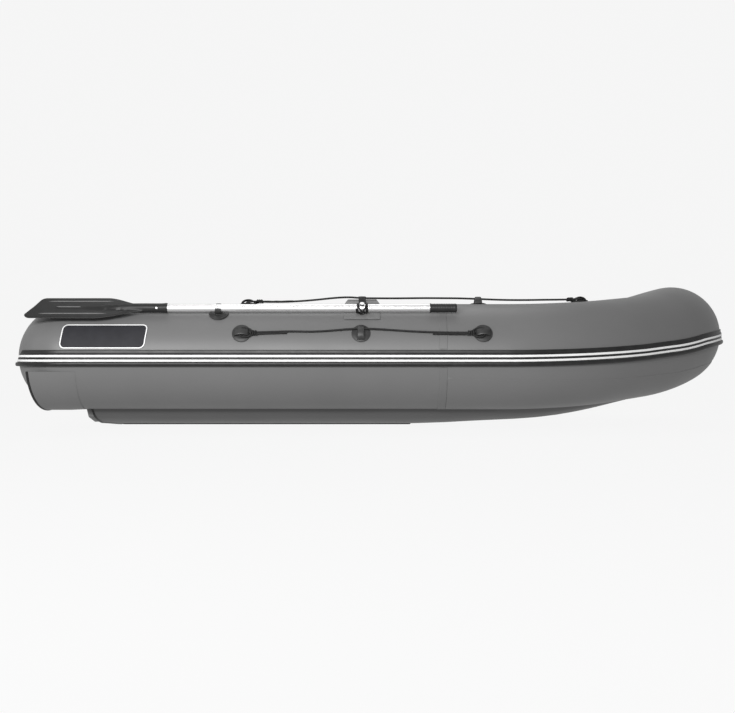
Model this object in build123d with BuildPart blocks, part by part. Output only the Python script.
"""Inflatable dinghy: three air chambers, low-pressure floor, transom, two oars.

Frame: millimetres, +X forward, +Y to port, +Z up. The origin is on the centreplane,
half way along the hull, at the bottom of the keel strip.
"""

import os
from math import cos, pi, radians, sin, tan

from build123d import *

os.makedirs("parts", exist_ok=True)

# --- air chambers ---
TUBE_R = 210.0
TUBE_SKIN = 1.5
AXIS_Y = 580.0
AXIS_Z = 300.0
STERN_X = -1480.0
SPLIT_X = 200.0
GLUE = 0.5
# The axis of the bow chamber turns at these corners, from port to the centreplane.
BOW_CORNERS = [(688.0, AXIS_Y, AXIS_Z), (1098.0, 285.0, 348.0), (1386.0, 0.0, 440.0)]
BOW_RADII = [800.0, 950.0, 300.0]

# --- rub strake, heights measured from the chamber axis ---
STRAKE_TOP = 25.0
STRAKE_BOTTOM = -38.0
STRAKE_FLANGE = 3.0
STRAKE_BODY = 6.0
STRAKE_RIB = 13.0
RIB_TOP = -22.0
STRIPE_HIGH = 9.0
STRIPE_TOPS = [6.0, -11.5]
STRIPE_DEPTH = 3.0
STRIPE_GAP = 0.55
STRAKE_STERN_TURN = 72.0

# --- floor and transom ---
FLOOR_SKIN = 2.0
KEEL_HALF = 60.0
KEEL_THICK = 3.0
DECK_Z = 112.0
TRANSOM_X = -1180.0
TRANSOM_RAKE = 10.0
TRANSOM_THICK = 25.0
TRANSOM_TOP = 432.0
TRANSOM_LIFT = 6.0
TRANSOM_SHOULDER = 458.0
NOTCH_HALF = 190.0
PAD_WIDE = 300.0
PAD_HIGH = 210.0
PAD_THICK = 4.0
PAD_CENTRE = 315.0
PAD_INNER_HIGH = 150.0
PAD_CORNER = 15.0
DRAIN_R = 14.0
DRAIN_UP = 150.0
DRAIN_WALL = 4.0
DRAIN_FREE = 0.3

# --- oars ---
PIVOT_X = -113.0
OAR_LEAN = 38.0
OAR_OUT = 238.6
SHAFT_R = 15.0
SHAFT_WALL = 1.5
GRIP_START = 150.0
GRIP_END = 255.0
GRIP_R = 17.5
SOCKET_START = -968.0
SOCKET_END = -868.0
SOCKET_R = 18.5
BLADE_TIP = -1416.0
BLADE_HALF = 66.0
BLADE_THICK = 7.0
RIB_HIGH = 2.0
BUTTON_X = -908.0
BUTTON_R = 4.0
PIN_R = 5.0
PIN_FREE = 0.3
SHAFT_FREE = 0.5
CLIP_X = -671.0
LASHING_THICK = 6.0

# --- ropes and their fittings ---
ROPE_R = 3.75
DISC_R = 36.5
DISC_THICK = 3.5
EYE_X = [-577.0, -117.0, 353.0]
EYE_ANGLE = 65.0
TOP_EYE_X = [-572.0, 353.0, 808.0]
TOP_EYE_ANGLE = -10.5

# --- seats ---
SEAT_X = {"aft": -640.0, "forward": 150.0}
SEAT_WIDE = 200.0
SEAT_THICK = 20.0
RAIL_LENGTH = 400.0
RAIL_LIFT = 30.0
RAIL_GAP = 0.5

# --- valves ---
VALVE_FLANGE_R = 30.0
VALVE_BARREL_R = 20.0
VALVE_BORE_R = 16.0
VALVE_DEPTH = 30.0
STEM_R = 3.0

SIDES = {"starboard": -1, "port": 1}
CAP_CENTRE_X = STERN_X + TUBE_R
LONG = 4000.0
FLAT_BASE = (Align.CENTER, Align.CENTER, Align.MIN)


def save(piece, label):
    """Names a finished piece and writes it."""
    piece.part.label = label
    export_step(piece.part, f"parts/{label}.step")


def section_plane(x, side):
    """Across one chamber: x points outboard, y up, and an extrusion of side * d runs forward."""
    return Plane(origin=(x, side * AXIS_Y, AXIS_Z), x_dir=(0, side, 0), z_dir=(side, 0, 0))


def profile_plane(y, x=0.0):
    """Along the hull, seen from starboard: x points forward and y up from the chamber axis."""
    return Plane(origin=(x, y, AXIS_Z), x_dir=(1, 0, 0), z_dir=(0, -1, 0))


def mirrored(points):
    """A route from port to the centreplane, carried on to starboard."""
    back = [(x, -y, z) for x, y, z in reversed(points) if abs(y) > GLUE]
    return points + back


def flared(offset):
    """The bow corners moved outboard, for a line that runs beside the axis."""
    headings = [Vector(1, 0, 0)]
    for start, end in zip(BOW_CORNERS, BOW_CORNERS[1:]):
        headings.append(Vector(end[0] - start[0], end[1] - start[1], 0).normalized())
    headings.append(Vector(headings[-1].X * -1, headings[-1].Y, 0))
    moved = []
    for corner, before, after in zip(BOW_CORNERS, headings, headings[1:]):
        left = Vector(-before.Y, before.X, 0)
        half = before.get_angle(after) / 2
        slide = before * (offset * tan(radians(half)))
        moved.append(tuple(Vector(*corner) + left * offset + slide))
    return moved


with BuildLine() as axis_line:
    FilletPolyline(
        *mirrored([(CAP_CENTRE_X, AXIS_Y, AXIS_Z)] + BOW_CORNERS),
        radius=BOW_RADII + BOW_RADII[-2::-1],
    )
axis_wire = axis_line.wire()

with BuildLine() as bow_line:
    FilletPolyline(
        *mirrored([(SPLIT_X, AXIS_Y, AXIS_Z)] + BOW_CORNERS),
        radius=BOW_RADII + BOW_RADII[-2::-1],
    )
bow_wire = bow_line.wire()


def axis_at(x):
    """The chamber axis's point and heading at a station, on the port side."""
    low = 0.0
    high = 0.5
    for _ in range(40):
        middle = (low + high) / 2
        if (axis_wire @ middle).X < x:
            low = middle
        else:
            high = middle
    return axis_wire @ low, axis_wire % low


def on_tube(x, angle, out, side):
    """A point beside a chamber. The angle is from straight up, outboard positive."""
    centre, heading = axis_at(x)
    outboard = Vector(-heading.Y, heading.X, 0).normalized()
    up = heading.cross(outboard)
    point = centre + outboard * (out * sin(radians(angle))) + up * (out * cos(radians(angle)))
    return Vector(point.X, point.Y * side, point.Z)


def tube_plane(x, angle, out, side):
    """A plane that lies on a chamber, its x along the chamber and its z outward."""
    origin = on_tube(x, angle, out, side)
    outward = (on_tube(x, angle, out + 1, side) - origin).normalized()
    heading = axis_at(x)[1]
    along = Vector(heading.X, heading.Y * side, heading.Z)
    along = (along - outward * along.dot(outward)).normalized()
    return Plane(origin=origin, x_dir=along, z_dir=outward)


# The space that the chambers take up, with the glue line round them.
with BuildPart() as chamber_space:
    with BuildSketch(Plane(origin=(CAP_CENTRE_X, AXIS_Y, AXIS_Z), z_dir=(1, 0, 0))):
        Circle(TUBE_R + GLUE)
    sweep(path=axis_wire)
    for side in SIDES.values():
        with Locations((CAP_CENTRE_X, side * AXIS_Y, AXIS_Z)):
            Sphere(TUBE_R + GLUE)

# --- side chambers: a cylinder with a domed stern end ---
VALVES = {
    "starboard": tube_plane(-1000.0, -60.0, TUBE_R, -1),
    "port": tube_plane(-1000.0, -60.0, TUBE_R, 1),
    "bow": tube_plane(400.0, -60.0, TUBE_R, -1),
    "floor": Plane(origin=(-1140.0, 320.0, DECK_Z + FLOOR_SKIN), z_dir=(0, 0, 1)),
}

for name, side in SIDES.items():
    with BuildPart() as side_tube:
        with BuildSketch(profile_plane(side * AXIS_Y)):
            with BuildLine():
                Line((SPLIT_X, TUBE_R), (CAP_CENTRE_X, TUBE_R))
                CenterArc((CAP_CENTRE_X, 0), TUBE_R, 90, 90)
                Line((STERN_X, 0), (STERN_X + TUBE_SKIN, 0))
                CenterArc((CAP_CENTRE_X, 0), TUBE_R - TUBE_SKIN, 180, -90)
                Line((CAP_CENTRE_X, TUBE_R - TUBE_SKIN), (SPLIT_X, TUBE_R - TUBE_SKIN))
                Line((SPLIT_X, TUBE_R - TUBE_SKIN), (SPLIT_X, TUBE_R))
            make_face()
        revolve(axis=Axis((0, side * AXIS_Y, AXIS_Z), (1, 0, 0)))
        with BuildSketch(VALVES[name]):
            Circle(VALVE_BARREL_R + GLUE)
        extrude(amount=-2 * VALVE_DEPTH, mode=Mode.SUBTRACT)
    save(side_tube, f"tube_{name}")

# --- bow chamber: three panels of skin that meet edge to edge round the bow ---
bow_edges = bow_wire.edges()
BOW_SIDE_EDGES = 3
BOW_PANELS = {
    "port": bow_edges[:BOW_SIDE_EDGES],
    "nose": bow_edges[BOW_SIDE_EDGES:-BOW_SIDE_EDGES],
    "starboard": bow_edges[-BOW_SIDE_EDGES:],
}
for name, edges in BOW_PANELS.items():
    run = Wire(edges)
    with BuildPart() as bow_panel:
        with BuildSketch(Plane(origin=run @ 0, z_dir=run % 0)):
            Circle(TUBE_R)
            Circle(TUBE_R - TUBE_SKIN, mode=Mode.SUBTRACT)
        sweep(path=run)
        with BuildSketch(VALVES["bow"]):
            Circle(VALVE_BARREL_R + GLUE)
        extrude(amount=-2 * VALVE_DEPTH, mode=Mode.SUBTRACT)
    save(bow_panel, f"tube_bow_{name}")

# --- bulkheads between the chambers ---
with BuildPart() as bulkheads:
    for side in SIDES.values():
        with BuildSketch(Plane(origin=(SPLIT_X, side * AXIS_Y, AXIS_Z), z_dir=(-1, 0, 0))):
            Circle(TUBE_R - TUBE_SKIN - GLUE)
        extrude(amount=TUBE_SKIN)
save(bulkheads, "tube_bulkheads")

# --- seam tapes over the joints of the chambers, clear of the strake and the floor ---
TAPE_WIDE = 31.0
TAPE_THICK = 1.2
TAPE_CLEAR = 1.0
# The tape stops this far inboard of the chamber's top, where the cockpit's fittings begin.
TAPE_INNER = TUBE_R / 2
with BuildPart() as tapes:
    for side in SIDES.values():
        with BuildSketch(Plane(origin=(SPLIT_X - TAPE_WIDE / 2, side * AXIS_Y, AXIS_Z), z_dir=(1, 0, 0))):
            Circle(TUBE_R + GLUE + TAPE_THICK)
            Circle(TUBE_R + GLUE, mode=Mode.SUBTRACT)
        extrude(amount=TAPE_WIDE)
    for side in SIDES.values():
        strake_high = STRAKE_TOP - STRAKE_BOTTOM + 2 * TAPE_CLEAR
        with Locations((SPLIT_X, side * (AXIS_Y + TUBE_R), AXIS_Z + (STRAKE_TOP + STRAKE_BOTTOM) / 2)):
            Box(2 * TAPE_WIDE, TUBE_R / 2, strake_high, mode=Mode.SUBTRACT)
        with Locations((SPLIT_X, side * (AXIS_Y - TUBE_R), AXIS_Z - TUBE_R)):
            Box(2 * TAPE_WIDE, 2 * TUBE_R + 10 * TAPE_CLEAR, 2 * TUBE_R, mode=Mode.SUBTRACT)
        with Locations((SPLIT_X, side * (AXIS_Y - TUBE_R), AXIS_Z)):
            Box(2 * TAPE_WIDE, 2 * TAPE_INNER, 2 * TUBE_R, mode=Mode.SUBTRACT)
save(tapes, "seam_tapes")

# --- rub strake: one rubber moulding from stern to stern, with two stripes let into it ---
# Its line starts a little past the end of the stern arc, so that the arc has room for its fillet.
STERN_RUN = 2.0
stern_arc_end = (
    CAP_CENTRE_X - TUBE_R * sin(radians(STRAKE_STERN_TURN)),
    AXIS_Y + TUBE_R * cos(radians(STRAKE_STERN_TURN)),
    AXIS_Z,
)
stern_corner = (
    CAP_CENTRE_X - TUBE_R * tan(radians(STRAKE_STERN_TURN / 2)),
    AXIS_Y + TUBE_R,
    AXIS_Z,
)
strake_radii = [TUBE_R] + [radius + TUBE_R for radius in BOW_RADII]
with BuildLine() as strake_line:
    FilletPolyline(
        *mirrored(
            [
                (
                    stern_arc_end[0] - STERN_RUN * cos(radians(STRAKE_STERN_TURN)),
                    stern_arc_end[1] - STERN_RUN * sin(radians(STRAKE_STERN_TURN)),
                    AXIS_Z,
                ),
                stern_corner,
            ]
            + flared(TUBE_R)
        ),
        radius=strake_radii + strake_radii[-2::-1],
    )
strake_wire = strake_line.wire()
# On this plane x points outboard and y points up.
strake_start = Plane(
    origin=strake_wire @ 0, x_dir=Vector(0, 0, 1).cross(strake_wire % 0), z_dir=strake_wire % 0
)
STRAKE_ROOT = 8.0
FLANGE_ROUND = 2.0
RIB_EASE = 3.0
with BuildPart() as strake:
    with BuildSketch(strake_start):
        with BuildLine():
            Polyline(
                (-STRAKE_ROOT, STRAKE_TOP),
                (STRAKE_FLANGE - FLANGE_ROUND / 2, STRAKE_TOP),
                (STRAKE_FLANGE, STRAKE_TOP - FLANGE_ROUND),
                (STRAKE_FLANGE, STRIPE_TOPS[0] + 3 * FLANGE_ROUND),
                (STRAKE_BODY, STRIPE_TOPS[0] + 2 * FLANGE_ROUND),
                (STRAKE_BODY, RIB_TOP + FLANGE_ROUND / 4),
                (STRAKE_RIB - FLANGE_ROUND, RIB_TOP),
                (STRAKE_RIB, RIB_TOP - RIB_EASE),
                (STRAKE_RIB, STRAKE_BOTTOM + 2 * RIB_EASE),
                (STRAKE_RIB - 2 * FLANGE_ROUND, STRAKE_BOTTOM),
                (-STRAKE_ROOT, STRAKE_BOTTOM),
                close=True,
            )
        make_face()
        for top in STRIPE_TOPS:
            with Locations((STRAKE_BODY, top - STRIPE_HIGH / 2)):
                Rectangle(2 * STRIPE_DEPTH, STRIPE_HIGH, mode=Mode.SUBTRACT)
    sweep(path=strake_wire)
    add(chamber_space.part, mode=Mode.SUBTRACT)
save(strake, "rub_strake")

STRIPE_PROUD = 1.0
for label, top in zip(("upper", "lower"), STRIPE_TOPS):
    deep = STRIPE_DEPTH - STRIPE_GAP + STRIPE_PROUD
    with BuildPart() as stripe:
        with BuildSketch(strake_start):
            with Locations((STRAKE_BODY + STRIPE_PROUD - deep / 2, top - STRIPE_HIGH / 2)):
                Rectangle(deep, STRIPE_HIGH - 2 * STRIPE_GAP)
        sweep(path=strake_wire)
    save(stripe, f"strake_stripe_{label}")

# --- stern skirts: stiff panels that carry each chamber's lower side past its dome ---
SKIRT_FRONT = -1215.0
SKIRT_TOP_AFT = -1400.0
SKIRT_BOTTOM_AFT = -1366.0
SKIRT_THICK = 3.0
SKIRT_FROM = 16.0
SKIRT_LIP = 8.0
LIP_INSET = 5.0
LIP_EXTRA = 2.0
drop = TUBE_R * sin(radians(SKIRT_FROM))
skirts = []
for side in SIDES.values():
    with BuildPart() as skirt:
        with BuildSketch(section_plane(SKIRT_TOP_AFT, side)):
            Circle(TUBE_R + GLUE + SKIRT_THICK)
            with Locations((LIP_INSET, -TUBE_R - SKIRT_LIP / 2 - GLUE)):
                Rectangle(SKIRT_THICK + LIP_EXTRA, SKIRT_LIP)
            Circle(TUBE_R + GLUE, mode=Mode.SUBTRACT)
            with Locations((-TUBE_R, 0)):
                Rectangle(2 * TUBE_R, 3 * TUBE_R, mode=Mode.SUBTRACT)
            with Locations((TUBE_R, TUBE_R - drop)):
                Rectangle(3 * TUBE_R, 2 * TUBE_R, mode=Mode.SUBTRACT)
        extrude(amount=side * (SKIRT_FRONT - SKIRT_TOP_AFT))
        with BuildSketch(profile_plane(side * (AXIS_Y + 2 * TUBE_R))):
            Polygon(
                (SKIRT_TOP_AFT - LIP_INSET, -drop),
                (SKIRT_TOP_AFT, -drop),
                (SKIRT_BOTTOM_AFT, -TUBE_R - SKIRT_LIP - LIP_INSET),
                (SKIRT_TOP_AFT - LIP_INSET, -TUBE_R - SKIRT_LIP - LIP_INSET),
                align=None,
            )
        extrude(amount=side * 2 * TUBE_R, both=True, mode=Mode.SUBTRACT)
    skirts.append(skirt.part)
with BuildPart() as stern_skirts:
    add(skirts)
save(stern_skirts, "stern_skirts")

# --- identification plates on the outboard shoulders ---
PLATE_X = -1107.0
PLATE_LONG = 330.0
PLATE_TOP_ANGLE = 54.0
PLATE_BOTTOM_ANGLE = 82.0
PLATE_THICK = 1.5
PLATE_CORNER = 18.0
plates = []
for side in SIDES.values():
    with BuildPart() as plate:
        with BuildSketch(section_plane(PLATE_X - PLATE_LONG / 2, side)):
            Circle(TUBE_R + GLUE + PLATE_THICK)
            Circle(TUBE_R + GLUE, mode=Mode.SUBTRACT)
        extrude(amount=side * PLATE_LONG)
        low = TUBE_R * cos(radians(PLATE_BOTTOM_ANGLE))
        high = TUBE_R * cos(radians(PLATE_TOP_ANGLE))
        with BuildSketch(profile_plane(side * AXIS_Y, PLATE_X)):
            with Locations((0, (low + high) / 2)):
                RectangleRounded(PLATE_LONG, high - low, PLATE_CORNER)
        extrude(amount=-side * 2 * TUBE_R, mode=Mode.INTERSECT)
    plates.append(plate.part)
with BuildPart() as name_plates:
    add(plates)
save(name_plates, "name_plates")

# --- transom: a raked board between the chambers ---
RAKE = radians(TRANSOM_RAKE)
transom_plane = Plane(
    origin=(TRANSOM_X, 0, 0), x_dir=(0, 1, 0), z_dir=(cos(RAKE), 0, sin(RAKE))
)
# Points of the bottom's outline: share of the axis's half breadth, inset from it, and share
# of the drop from the chamber's bottom to the keel.
SECTION = [(1.0, -30.0, 0.40), (0.79, 0.0, 0.68), (0.67, 0.0, 0.72)]
FOOT_INSET = 8.0
FOOT_RISE = 18.0
HULL_DROP = AXIS_Z - TUBE_R
SHOULDER_RUN = 40.0
SHOULDER_HALF = 440.0
WING_TOP = 290.0
WING_SLOPE = 10.0
WING_HALF = 560.0
WING_FOOT = 100.0


def hull_line(half_axis, tube_bottom, keel):
    """The hull's bottom outline at one station, from the port edge to the keel."""
    drop = tube_bottom - keel
    line = [(share * half_axis + inset, tube_bottom - part * drop) for share, inset, part in SECTION]
    return [(half_axis - FOOT_INSET, tube_bottom + FOOT_RISE)] + line + [(KEEL_HALF, keel)]


aft_line = hull_line(AXIS_Y, HULL_DROP, KEEL_THICK)
with BuildPart() as transom:
    with BuildSketch(transom_plane):
        half = [
            (0, TRANSOM_TOP),
            (NOTCH_HALF, TRANSOM_TOP),
            (NOTCH_HALF + SHOULDER_RUN, TRANSOM_SHOULDER),
            (SHOULDER_HALF, TRANSOM_SHOULDER),
            (SHOULDER_HALF, WING_TOP + WING_SLOPE),
            (WING_HALF, WING_TOP - WING_SLOPE),
            (WING_HALF, WING_FOOT),
        ] + [(y, z + TRANSOM_LIFT) for y, z in aft_line[1:]]
        Polygon(*half, *[(-y, z) for y, z in reversed(half) if y > 0], align=None)
    extrude(amount=-TRANSOM_THICK)
    add(chamber_space.part, mode=Mode.SUBTRACT)
    with BuildSketch(transom_plane):
        with Locations((0, DRAIN_UP)):
            Circle(DRAIN_R + DRAIN_WALL + GLUE)
    extrude(amount=-TRANSOM_THICK, mode=Mode.SUBTRACT)
save(transom, "transom_board")

# What the floor may not enter: the board and everything aft of its forward face.
with BuildPart() as transom_space:
    with BuildSketch(transom_plane.offset(GLUE)):
        Rectangle(LONG, LONG)
    extrude(amount=-LONG / 8)

# The motor pads are glued to the board, one on each face.
pad_faces = {
    "outer": (-TRANSOM_THICK, -PAD_THICK, PAD_HIGH),
    "inner": (0.0, PAD_THICK, PAD_INNER_HIGH),
}
for name, (face, thick, high) in pad_faces.items():
    with BuildPart() as pad:
        with BuildSketch(transom_plane.offset(face)):
            with Locations((0, PAD_CENTRE)):
                RectangleRounded(PAD_WIDE, high, PAD_CORNER)
        extrude(amount=thick)
    save(pad, f"motor_pad_{name}")

# --- drain: a flanged bush through the board, and its stopper ---
DRAIN_FLANGE_R = 30.0
DRAIN_FLANGE = 4.0
STOPPER_RIM = 6.0
with BuildPart() as drain:
    with BuildSketch(transom_plane):
        with Locations((0, DRAIN_UP)):
            Circle(DRAIN_R + DRAIN_WALL)
    extrude(amount=-TRANSOM_THICK)
    for offset, reach in ((0, DRAIN_FLANGE), (-TRANSOM_THICK, -DRAIN_FLANGE)):
        with BuildSketch(transom_plane.offset(offset)):
            with Locations((0, DRAIN_UP)):
                Circle(DRAIN_FLANGE_R)
        extrude(amount=reach)
    with BuildSketch(transom_plane.offset(DRAIN_FLANGE)):
        with Locations((0, DRAIN_UP)):
            Circle(DRAIN_R)
    extrude(amount=-TRANSOM_THICK - 2 * DRAIN_FLANGE, mode=Mode.SUBTRACT)
save(drain, "drain_bush")

with BuildPart() as stopper:
    aft_face = -TRANSOM_THICK - DRAIN_FLANGE
    for offset, radius, reach in (
        (aft_face, DRAIN_R - DRAIN_FREE, TRANSOM_THICK),
        (aft_face - DRAIN_FREE, DRAIN_R + STOPPER_RIM, -STOPPER_RIM),
        (aft_face - DRAIN_FREE, DRAIN_R - DRAIN_FREE, 2 * DRAIN_FREE),
    ):
        with BuildSketch(transom_plane.offset(offset)):
            with Locations((0, DRAIN_UP)):
                Circle(radius)
        extrude(amount=reach)
save(stopper, "drain_plug")

# --- floor: bottom skin, deck skin, webs that hold them apart, and the keel strip ---
DECK_INSET = 45.0
KEEL_FRONT = 100.0
KEEL_CORNER = 20.0
# The keel's rise above its lowest line, station by station.
KEEL_LINE = [
    (-1260.0, 0.0),
    (-500.0, 0.0),
    (100.0, 0.0),
    (250.0, 5.0),
    (390.0, 13.0),
    (500.0, 18.0),
    (600.0, 26.0),
    (690.0, 38.0),
    (770.0, 53.0),
    (850.0, 71.0),
    (930.0, 91.0),
    (1000.0, 108.0),
    (1060.0, 123.0),
    (1110.0, 137.0),
    (1150.0, 150.0),
]


def skin_section(outline):
    """A thin band across the hull, closed along both its faces."""
    lower = outline
    upper = [(y, z + FLOOR_SKIN) for y, z in outline]
    upper[0] = (lower[0][0] - 1.5 * FLOOR_SKIN, lower[0][1])
    upper[1] = (lower[1][0] - FLOOR_SKIN, lower[1][1] + FLOOR_SKIN)
    full_lower = lower + [(-y, z) for y, z in reversed(lower)]
    full_upper = upper + [(-y, z) for y, z in reversed(upper)]
    return full_lower + full_upper[::-1]


with BuildPart() as bottom_skin:
    for x, rise in KEEL_LINE:
        centre = axis_at(max(x, CAP_CENTRE_X + 1))[0]
        outline = hull_line(centre.Y, centre.Z - TUBE_R, rise + KEEL_THICK)
        with BuildSketch(Plane.YZ.offset(x)):
            Polygon(*skin_section(outline), align=None)
    loft(ruled=True)
    add(chamber_space.part, mode=Mode.SUBTRACT)
    add(transom_space.part, mode=Mode.SUBTRACT)
save(bottom_skin, "floor_bottom_skin")

with BuildPart() as deck_skin:
    for x, rise in KEEL_LINE:
        centre = axis_at(max(x, CAP_CENTRE_X + 1))[0]
        half = centre.Y - DECK_INSET
        height = DECK_Z + rise
        with BuildSketch(Plane.YZ.offset(x)):
            Polygon(
                (half, height),
                (half, height + FLOOR_SKIN),
                (-half, height + FLOOR_SKIN),
                (-half, height),
                align=None,
            )
    loft(ruled=True)
    add(chamber_space.part, mode=Mode.SUBTRACT)
    add(transom_space.part, mode=Mode.SUBTRACT)
    with BuildSketch(VALVES["floor"]):
        Circle(VALVE_BARREL_R + GLUE)
    extrude(amount=-2 * VALVE_DEPTH, mode=Mode.SUBTRACT)
save(deck_skin, "floor_deck_skin")

WEB_YS = [-360.0, -240.0, -120.0, 0.0, 120.0, 240.0, 360.0]
WEB_THICK = 2.0
WEB_AFT = -1095.0
WEB_FRONT = 90.0


def hull_height(y):
    """The bottom skin's outer height on the straight part of the hull."""
    line = [(0.0, KEEL_THICK)] + aft_line[::-1]
    for (y_in, z_in), (y_out, z_out) in zip(line, line[1:]):
        if y_in <= abs(y) <= y_out:
            return z_in + (z_out - z_in) * (abs(y) - y_in) / (y_out - y_in)
    return HULL_DROP


with BuildPart() as webs:
    for y in WEB_YS:
        low = hull_height(abs(y) + WEB_THICK) + FLOOR_SKIN + GLUE
        high = DECK_Z - GLUE
        with Locations(((WEB_AFT + WEB_FRONT) / 2, y, (low + high) / 2)):
            Box(WEB_FRONT - WEB_AFT, WEB_THICK, high - low)
save(webs, "floor_webs")

with BuildPart() as keel:
    with BuildSketch(Plane.XY):
        with Locations(((TRANSOM_X + KEEL_FRONT) / 2, 0)):
            RectangleRounded(KEEL_FRONT - TRANSOM_X - FLOOR_SKIN, 2 * KEEL_HALF, KEEL_CORNER)
    extrude(amount=KEEL_THICK - GLUE)
save(keel, "keel_strip")

# --- valves: one body, plunger and cap for each air cell ---
VALVE_FLANGE = 4.0
BRIDGE_WIDE = 8.0
BRIDGE_THICK = 4.0
STEM_FREE = 0.1
DISC_CLEAR = 3.0
PLUNGER_THICK = 3.0
BUTTON_TOP = 8.0
VALVE_BUTTON_R = 6.0
CAP_R = 24.0
CAP_FREE = 0.3
CAP_THICK = 7.0
CAP_PLUG = 3.0
CAP_TAB = 4.0
CAP_TAB_WIDE = 5.0
with BuildPart() as valve_body:
    Cylinder(VALVE_FLANGE_R, VALVE_FLANGE, align=FLAT_BASE)
    with Locations((0, 0, -VALVE_DEPTH)):
        Cylinder(VALVE_BARREL_R, VALVE_DEPTH + 1, align=FLAT_BASE)
    with Locations((0, 0, -VALVE_DEPTH)):
        Cylinder(VALVE_BORE_R, 2 * VALVE_DEPTH, align=FLAT_BASE, mode=Mode.SUBTRACT)
    with Locations((0, 0, -VALVE_DEPTH)):
        Box(2 * VALVE_BORE_R + 2, BRIDGE_WIDE, BRIDGE_THICK, align=FLAT_BASE)
    with Locations((0, 0, -VALVE_DEPTH - 1)):
        Cylinder(STEM_R + STEM_FREE, BRIDGE_THICK + 2, align=FLAT_BASE, mode=Mode.SUBTRACT)

with BuildPart() as valve_plunger:
    with Locations((0, 0, -VALVE_DEPTH - PLUNGER_THICK - CAP_FREE)):
        Cylinder(VALVE_BORE_R - DISC_CLEAR, PLUNGER_THICK, align=FLAT_BASE)
    with Locations((0, 0, -VALVE_DEPTH - 1)):
        Cylinder(STEM_R, VALVE_DEPTH + PLUNGER_THICK - BUTTON_TOP, align=FLAT_BASE)
    with Locations((0, 0, -BUTTON_TOP)):
        Cylinder(VALVE_BUTTON_R, PLUNGER_THICK, align=FLAT_BASE)

with BuildPart() as valve_cap:
    with Locations((0, 0, VALVE_FLANGE + CAP_FREE)):
        Cylinder(CAP_R, CAP_THICK, align=FLAT_BASE)
    with Locations((0, 0, -CAP_PLUG)):
        Cylinder(VALVE_BORE_R - CAP_FREE, CAP_PLUG + CAP_THICK - 2, align=FLAT_BASE)
    with Locations((0, 0, VALVE_FLANGE + CAP_THICK + CAP_FREE)):
        Box(2 * VALVE_BARREL_R - CAP_TAB, CAP_TAB_WIDE, CAP_TAB, align=FLAT_BASE)

with BuildPart() as valve_bodies:
    for seat in VALVES.values():
        add(valve_body.part.moved(seat.offset(GLUE).location))
save(valve_bodies, "valve_bodies")

for name, seat in VALVES.items():
    with BuildPart() as plunger:
        add(valve_plunger.part.moved(seat.offset(GLUE).location))
    save(plunger, f"valve_plunger_{name}")
    with BuildPart() as cap:
        add(valve_cap.part.moved(seat.offset(GLUE).location))
    save(cap, f"valve_cap_{name}")

# --- oarlocks: a moulded block, a shoulder and a pin square to the chamber ---
BLOCK_BASE = 140.0
BLOCK_TOP = 98.0
BLOCK_LEAN = 14.0
BLOCK_R = 228.0
BLOCK_HALF = 25.0
BLOCK_SHOULDER = 180.0
BLOCK_FLARE = 12.0
BLOCK_FOOT = 4.0
BLOCK_LOWEST = 145.0
BLOCK_INNER = -22.0
BLOCK_EDGE = 205.0
BLOCK_OVER = 240.0
BLOCK_UNDER = 100.0
BOSS_R = 7.0
NUT_R = 9.0
NUT_HIGH = 7.0
PIN_GAP = 0.3


def oar_plane(x, side):
    """On the oar's axis: x runs forward along the shaft and z away from the chamber."""
    return tube_plane(x, OAR_LEAN, OAR_OUT, side)


def oar_section(x, side):
    """Across the oar at a station."""
    seat = oar_plane(x, side)
    return Plane(origin=seat.origin, x_dir=seat.y_dir, z_dir=(1, 0, 0))


def button_plane(side):
    """On the oar's axis at the snap button, with z straight outboard."""
    return Plane(origin=oar_plane(BUTTON_X, side).origin, x_dir=(1, 0, 0), z_dir=(0, side, 0))


GRIP_CLOSED = 4.0
GRIP_FREE = 0.1
GRIP_ROUND = 5.0
SOCKET_LAP = 10.0
BUTTON_ROOT = 6.0
BUTTON_PROUD = 2.0
LASHING_FROM = 10.5
LASHING_LONG = 14.0
CLIP_DISC_R = DISC_R + 2.0
CLIP_DISC_THICK = 6.0
HORN_LONG = 20.0
HORN_HALF = 23.0
HORN_RISE = 12.0
HORN_MOUTH = 27.0
# The blade's outline: forward of the socket's start, and share of the half breadth. It runs
# from the inboard side of the tip round the socket to the outboard side of the tip.
BLADE_LONG = SOCKET_START - BLADE_TIP
BLADE_OUTLINE = [
    (4 - BLADE_LONG, -0.35),
    (26 - BLADE_LONG, -0.86),
    (55 - BLADE_LONG, -1.0),
    (-95, -1.0),
    (-30, -0.5),
    (6, -SOCKET_R / BLADE_HALF),
    (6, SOCKET_R / BLADE_HALF),
    (-30, 0.5),
    (-95, 1.0),
    (34 - BLADE_LONG, 1.0),
    (12 - BLADE_LONG, 0.9),
    (-BLADE_LONG, 0.3),
]
RIB_ACROSS = [-40.0, 0.0, 40.0]
RIB_WIDE = 7.0
RIB_FROM = 60.0 - BLADE_LONG
RIB_TO = -115.0


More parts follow.
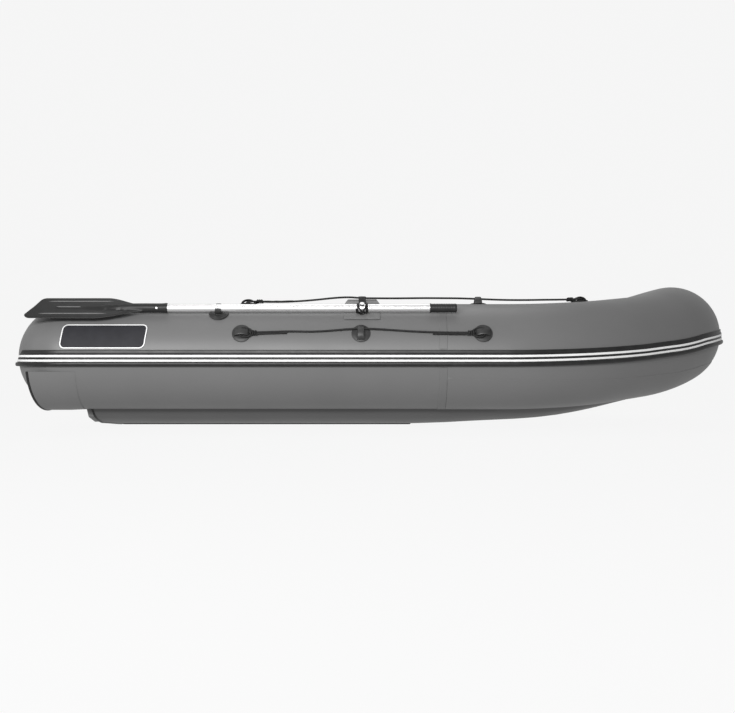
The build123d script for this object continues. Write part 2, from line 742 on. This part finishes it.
clip_discs = []
for name, side in SIDES.items():
    with BuildPart() as block:
        with BuildSketch(section_plane(PIVOT_X - BLOCK_BASE / 2, side)):
            Circle(TUBE_R + GLUE + BLOCK_FOOT)
            top_centre = Vector(sin(radians(BLOCK_LEAN)), cos(radians(BLOCK_LEAN)))
            across = Vector(cos(radians(BLOCK_LEAN)), -sin(radians(BLOCK_LEAN)))
            corners = [
                top_centre * BLOCK_SHOULDER - across * (BLOCK_HALF + BLOCK_FLARE),
                top_centre * BLOCK_R - across * BLOCK_HALF,
                top_centre * BLOCK_R + across * BLOCK_HALF,
                top_centre * BLOCK_SHOULDER + across * (BLOCK_HALF + BLOCK_FLARE),
            ]
            Polygon(*[(c.X, c.Y) for c in corners], align=None)
            Circle(TUBE_R + GLUE, mode=Mode.SUBTRACT)
            with Locations((0, -TUBE_R)):
                Rectangle(4 * TUBE_R, 2 * (TUBE_R + BLOCK_LOWEST), mode=Mode.SUBTRACT)
            with Locations((BLOCK_INNER - TUBE_R, TUBE_R)):
                Rectangle(2 * TUBE_R, 2 * TUBE_R, mode=Mode.SUBTRACT)
        extrude(amount=side * BLOCK_BASE)
        with BuildSketch(profile_plane(side * AXIS_Y, PIVOT_X)):
            Polygon(
                (-BLOCK_BASE / 2, BLOCK_UNDER),
                (-BLOCK_BASE / 2, BLOCK_EDGE),
                (-BLOCK_TOP / 2, BLOCK_OVER),
                (BLOCK_TOP / 2, BLOCK_OVER),
                (BLOCK_BASE / 2, BLOCK_EDGE),
                (BLOCK_BASE / 2, BLOCK_UNDER),
                align=None,
            )
        extrude(amount=TUBE_R, both=True, mode=Mode.INTERSECT)
    save(block, f"oarlock_block_{name}")

    pivot = tube_plane(PIVOT_X, OAR_LEAN, TUBE_R + GLUE + BLOCK_FOOT, side)
    shoulder = OAR_OUT - SHAFT_R - PIN_GAP - (TUBE_R + GLUE + BLOCK_FOOT)
    pin_long = 2 * (SHAFT_R + PIN_GAP)
    with BuildPart() as pin:
        with BuildSketch(pivot):
            Circle(BOSS_R)
        extrude(amount=shoulder)
        with BuildSketch(pivot.offset(shoulder)):
            Circle(PIN_R)
        extrude(amount=pin_long + 1)
        with BuildSketch(pivot.offset(shoulder + pin_long)):
            Circle(NUT_R)
        extrude(amount=NUT_HIGH)
    save(pin, f"oarlock_pin_{name}")

    with BuildPart() as shaft:
        with BuildSketch(oar_section(SOCKET_START, side)):
            Circle(SHAFT_R)
            Circle(SHAFT_R - SHAFT_WALL, mode=Mode.SUBTRACT)
        extrude(amount=GRIP_END - GRIP_CLOSED - SOCKET_START)
        with BuildSketch(oar_plane(PIVOT_X, side).offset(-2 * SHAFT_R)):
            Circle(PIN_R + PIN_FREE)
        extrude(amount=4 * SHAFT_R, mode=Mode.SUBTRACT)
        with BuildSketch(button_plane(side)):
            Circle(BUTTON_R + PIN_FREE)
        extrude(amount=2 * SHAFT_R, mode=Mode.SUBTRACT)
    save(shaft, f"oar_shaft_{name}")

    with BuildPart() as grip:
        with BuildSketch(oar_section(GRIP_START, side)):
            Circle(GRIP_R)
        extrude(amount=GRIP_END - GRIP_START)
        with BuildSketch(oar_section(GRIP_START, side)):
            Circle(SHAFT_R + SHAFT_FREE)
        extrude(amount=GRIP_END - GRIP_CLOSED + GRIP_FREE - GRIP_START, mode=Mode.SUBTRACT)
        fillet(grip.faces().sort_by(Axis.X)[-1].edges(), GRIP_ROUND)
    save(grip, f"oar_grip_{name}")

    flat = oar_plane(SOCKET_START, side)
    with BuildPart() as blade:
        with BuildSketch(flat.offset(-BLADE_THICK / 2)):
            Polygon(*[(x, share * BLADE_HALF * side) for x, share in BLADE_OUTLINE], align=None)
        extrude(amount=BLADE_THICK)
        with BuildSketch(flat.offset(-BLADE_THICK / 2 - RIB_HIGH)):
            for across in RIB_ACROSS:
                with Locations(((RIB_FROM + RIB_TO) / 2, across * side)):
                    RectangleRounded(RIB_TO - RIB_FROM, RIB_WIDE, RIB_WIDE / 2 - GLUE)
        extrude(amount=BLADE_THICK + 2 * RIB_HIGH)
        with BuildSketch(oar_section(SOCKET_START, side)):
            Circle(SOCKET_R)
        extrude(amount=SOCKET_END - SOCKET_START)
        with BuildSketch(oar_section(SOCKET_START, side)):
            Circle(SHAFT_R + SHAFT_FREE)
        extrude(amount=SOCKET_END - SOCKET_START + SOCKET_LAP, mode=Mode.SUBTRACT)
        with BuildSketch(button_plane(side)):
            Circle(BUTTON_R + PIN_FREE)
        extrude(amount=2 * SHAFT_R, mode=Mode.SUBTRACT)
    save(blade, f"oar_blade_{name}")

    with BuildPart() as button:
        with BuildSketch(button_plane(side).offset(BUTTON_ROOT)):
            Circle(BUTTON_R)
        extrude(amount=SOCKET_R + BUTTON_PROUD - BUTTON_ROOT)
    save(button, f"oar_button_{name}")

    # The lashing's turns lie in two bands, one on each side of the pin.
    with BuildPart() as lashing:
        for aft in (-LASHING_FROM - LASHING_LONG, LASHING_FROM):
            with BuildSketch(oar_section(PIVOT_X + aft, side)):
                Circle(SHAFT_R + SHAFT_FREE + LASHING_THICK)
                Circle(SHAFT_R + SHAFT_FREE, mode=Mode.SUBTRACT)
            extrude(amount=LASHING_LONG)
    save(lashing, f"oar_lashing_{name}")

    clip_base = tube_plane(CLIP_X, OAR_LEAN, TUBE_R + GLUE, side)
    with BuildPart() as clip_disc:
        with BuildSketch(clip_base):
            Circle(CLIP_DISC_R)
        extrude(amount=CLIP_DISC_THICK)
    clip_discs.append(clip_disc.part)

    reach = OAR_OUT - TUBE_R - GLUE
    with BuildPart() as horns:
        horn_start = clip_base.origin - Vector(HORN_LONG / 2, 0, 0)
        horn_foot = CLIP_DISC_THICK + PIN_GAP
        with BuildSketch(Plane(origin=horn_start, x_dir=clip_base.y_dir, z_dir=(1, 0, 0))):
            with Locations((0, (horn_foot + reach + HORN_RISE) / 2)):
                Rectangle(2 * HORN_HALF, reach + HORN_RISE - horn_foot)
            with Locations((0, reach)):
                Circle(SHAFT_R + SHAFT_FREE, mode=Mode.SUBTRACT)
            with Locations((0, reach + SHAFT_R)):
                Rectangle(HORN_MOUTH, 2 * SHAFT_R, mode=Mode.SUBTRACT)
        extrude(amount=HORN_LONG)
    save(horns, f"oar_clip_horns_{name}")

with BuildPart() as clip_bases:
    add(clip_discs)
save(clip_bases, "oar_clip_bases")


# --- rope fittings: a glued disc with a moulded arch ---
ARCH_HALF = 29.0
ARCH_WALL = 4.0
ARCH_WIDE = 28.0
OUTER_ARCH = 17.0
END_ARCH = 20.0
MIDDLE_ARCH = 31.0


def fitting(seat, high, turned):
    """One disc and its arch, with the tunnel along the chamber, or across it if turned."""
    along, across = (seat.y_dir, seat.x_dir) if turned else (seat.x_dir, seat.y_dir)
    with BuildPart() as whole:
        with BuildSketch(seat):
            Circle(DISC_R)
        extrude(amount=DISC_THICK)
        middle = Plane(origin=seat.origin, x_dir=across, z_dir=across.cross(seat.z_dir))
        with BuildSketch(middle):
            with Locations((0, DISC_THICK)):
                Ellipse(ARCH_HALF, high)
                Ellipse(ARCH_HALF - ARCH_WALL, high - ARCH_WALL, mode=Mode.SUBTRACT)
            with Locations((0, DISC_THICK - ARCH_HALF - high)):
                Rectangle(4 * ARCH_HALF, 2 * (ARCH_HALF + high), mode=Mode.SUBTRACT)
        extrude(amount=ARCH_WIDE / 2, both=True)
    return whole.part


outer_eyes = []
top_eyes = []
for side in SIDES.values():
    for x in EYE_X:
        seat = tube_plane(x, EYE_ANGLE, TUBE_R + GLUE, side)
        outer_eyes.append(fitting(seat, OUTER_ARCH, x != EYE_X[1]))
    for x in TOP_EYE_X:
        seat = tube_plane(x, TOP_EYE_ANGLE, TUBE_R + GLUE, side)
        high = MIDDLE_ARCH if x == TOP_EYE_X[1] else END_ARCH
        top_eyes.append(fitting(seat, high, x != TOP_EYE_X[1]))
for label, pieces in (("outer", outer_eyes), ("top", top_eyes)):
    with BuildPart() as eyes:
        add(pieces)
    save(eyes, f"rope_eyes_{label}")

# --- lifelines. Each point is a station, an angle from straight up and a distance out. ---
OUTER_ROUTE = [
    (-547.4, 65.0, 218.4),
    (-470.0, 63.9, 215.4),
    (-385.0, 63.2, 215.2),
    (-300.0, 63.7, 214.6),
    (-225.0, 62.3, 215.4),
    (-155.0, 60.8, 218.9),
    (-80.0, 60.7, 218.9),
    (-10.0, 61.5, 215.4),
    (65.0, 63.0, 214.8),
    (150.0, 64.4, 216.5),
    (240.0, 64.9, 216.3),
    (323.4, 65.0, 218.4),
]
TOP_ROUTE = [
    (-544.5, -10.5, 225.0),
    (-460.0, -10.2, 223.0),
    (-375.0, -8.5, 224.5),
    (-295.0, -4.5, 228.5),
    (-225.0, 1.0, 234.5),
    (-165.0, 6.3, 238.0),
    (-113.0, 9.0, 234.4),
    (-60.0, 8.8, 234.2),
    (0.0, 6.0, 232.8),
    (70.0, 1.5, 233.0),
    (140.0, -3.0, 234.8),
    (210.0, -7.0, 236.6),
    (280.0, -9.6, 238.2),
    (353.0, -10.5, 236.4),
    (425.0, -10.4, 233.0),
    (500.0, -10.2, 231.0),
    (575.0, -10.5, 230.2),
    (650.0, -10.2, 229.0),
    (718.0, -10.6, 227.0),
    (780.5, -10.5, 225.0),
]


def arc_radii(points):
    """The largest arcs that the runs allow, one for each corner."""
    radii = []
    for before, here, after in zip(points, points[1:], points[2:]):
        turn = (here - before).get_angle(after - here)
        shorter = min((here - before).length, (after - here).length)
        radii.append(0.45 * shorter / tan(radians(turn) / 2))
    return radii


for label, route in (("outer", OUTER_ROUTE), ("top", TOP_ROUTE)):
    for name, side in SIDES.items():
        points = [on_tube(x, angle, out, side) for x, angle, out in route]
        radii = arc_radii(points)
        with BuildPart() as rope:
            with BuildLine() as rope_line:
                FilletPolyline(*points, radius=radii)
            rope_wire = rope_line.wire()
            with BuildSketch(Plane(origin=rope_wire @ 0, z_dir=rope_wire % 0)):
                Circle(ROPE_R)
            sweep(path=rope_wire)
        save(rope, f"lifeline_{label}_{name}")
        section_times_length = pi * ROPE_R**2 * rope_wire.length
        print(f"lifeline_{label}_{name}: length {rope_wire.length:.1f} mm, least radius {min(radii):.0f} mm,")
        print(f"  volume {rope.part.volume:.0f}, section times length {section_times_length:.0f} mm3")

# --- seats: planks on sliding clamps that ride on rails glued to the chambers ---
RAIL_STEM = 6.0
RAIL_HEAD = 14.0
RAIL_STEM_HIGH = 6.0
RAIL_HEAD_HIGH = 4.0
CLAMP_HALF = 14.0
CLAMP_TALL = 20.0
TAB_LONG = 48.0
TAB_THICK = 8.0
CLAMP_LONG = 90.0
CLAMP_FOOT = 3.0
TAB_LAP = 4.0
PLANK_INSET = 6.0
PLANK_CORNER = 20.0


def rail_plane(x, side):
    """On the inboard shoulder of a chamber, with z pointing away from it."""
    return tube_plane(x, RAIL_LIFT - 90, TUBE_R + GLUE, side)


with BuildPart() as rails:
    for centre in SEAT_X.values():
        for side in SIDES.values():
            seat = rail_plane(0.0, side)
            end = Plane(
                origin=seat.origin + Vector(centre - RAIL_LENGTH / 2, 0, 0),
                x_dir=seat.y_dir,
                z_dir=(1, 0, 0),
            )
            with BuildSketch(end):
                with Locations((0, RAIL_STEM_HIGH / 2)):
                    Rectangle(RAIL_STEM, RAIL_STEM_HIGH)
                with Locations((0, RAIL_STEM_HIGH + RAIL_HEAD_HIGH / 2)):
                    Rectangle(RAIL_HEAD, RAIL_HEAD_HIGH)
            extrude(amount=RAIL_LENGTH)
save(rails, "seat_rails")

for label, centre in SEAT_X.items():
    with BuildPart() as clamps:
        for side in SIDES.values():
            seat = rail_plane(0.0, side)
            end = Plane(
                origin=seat.origin + Vector(centre - CLAMP_LONG / 2, 0, 0),
                x_dir=seat.y_dir,
                z_dir=(1, 0, 0),
            )
            with BuildSketch(end):
                with Locations((0, (CLAMP_FOOT + CLAMP_TALL) / 2)):
                    Rectangle(2 * CLAMP_HALF, CLAMP_TALL - CLAMP_FOOT)
                with Locations((0, RAIL_STEM_HIGH / 2)):
                    Rectangle(RAIL_STEM + 2 * RAIL_GAP, RAIL_STEM_HIGH + 2, mode=Mode.SUBTRACT)
                with Locations((0, RAIL_STEM_HIGH + RAIL_HEAD_HIGH / 2)):
                    Rectangle(RAIL_HEAD + 2 * RAIL_GAP, RAIL_HEAD_HIGH + 2 * RAIL_GAP, mode=Mode.SUBTRACT)
            extrude(amount=CLAMP_LONG)
            tab_y = abs(seat.origin.Y) - CLAMP_TALL * cos(radians(RAIL_LIFT)) + TAB_LAP
            tab_z = seat.origin.Z + CLAMP_TALL * sin(radians(RAIL_LIFT))
            with Locations((centre, side * (tab_y - TAB_LONG / 2), tab_z)):
                Box(CLAMP_LONG, TAB_LONG, TAB_THICK)
    save(clamps, f"seat_clamps_{label}")

    with BuildPart() as plank:
        with BuildSketch(Plane.XY.offset(tab_z + TAB_THICK / 2)):
            with Locations((centre, 0)):
                RectangleRounded(SEAT_WIDE, 2 * (tab_y - PLANK_INSET), PLANK_CORNER)
        extrude(amount=SEAT_THICK)
    save(plank, f"seat_plank_{label}")
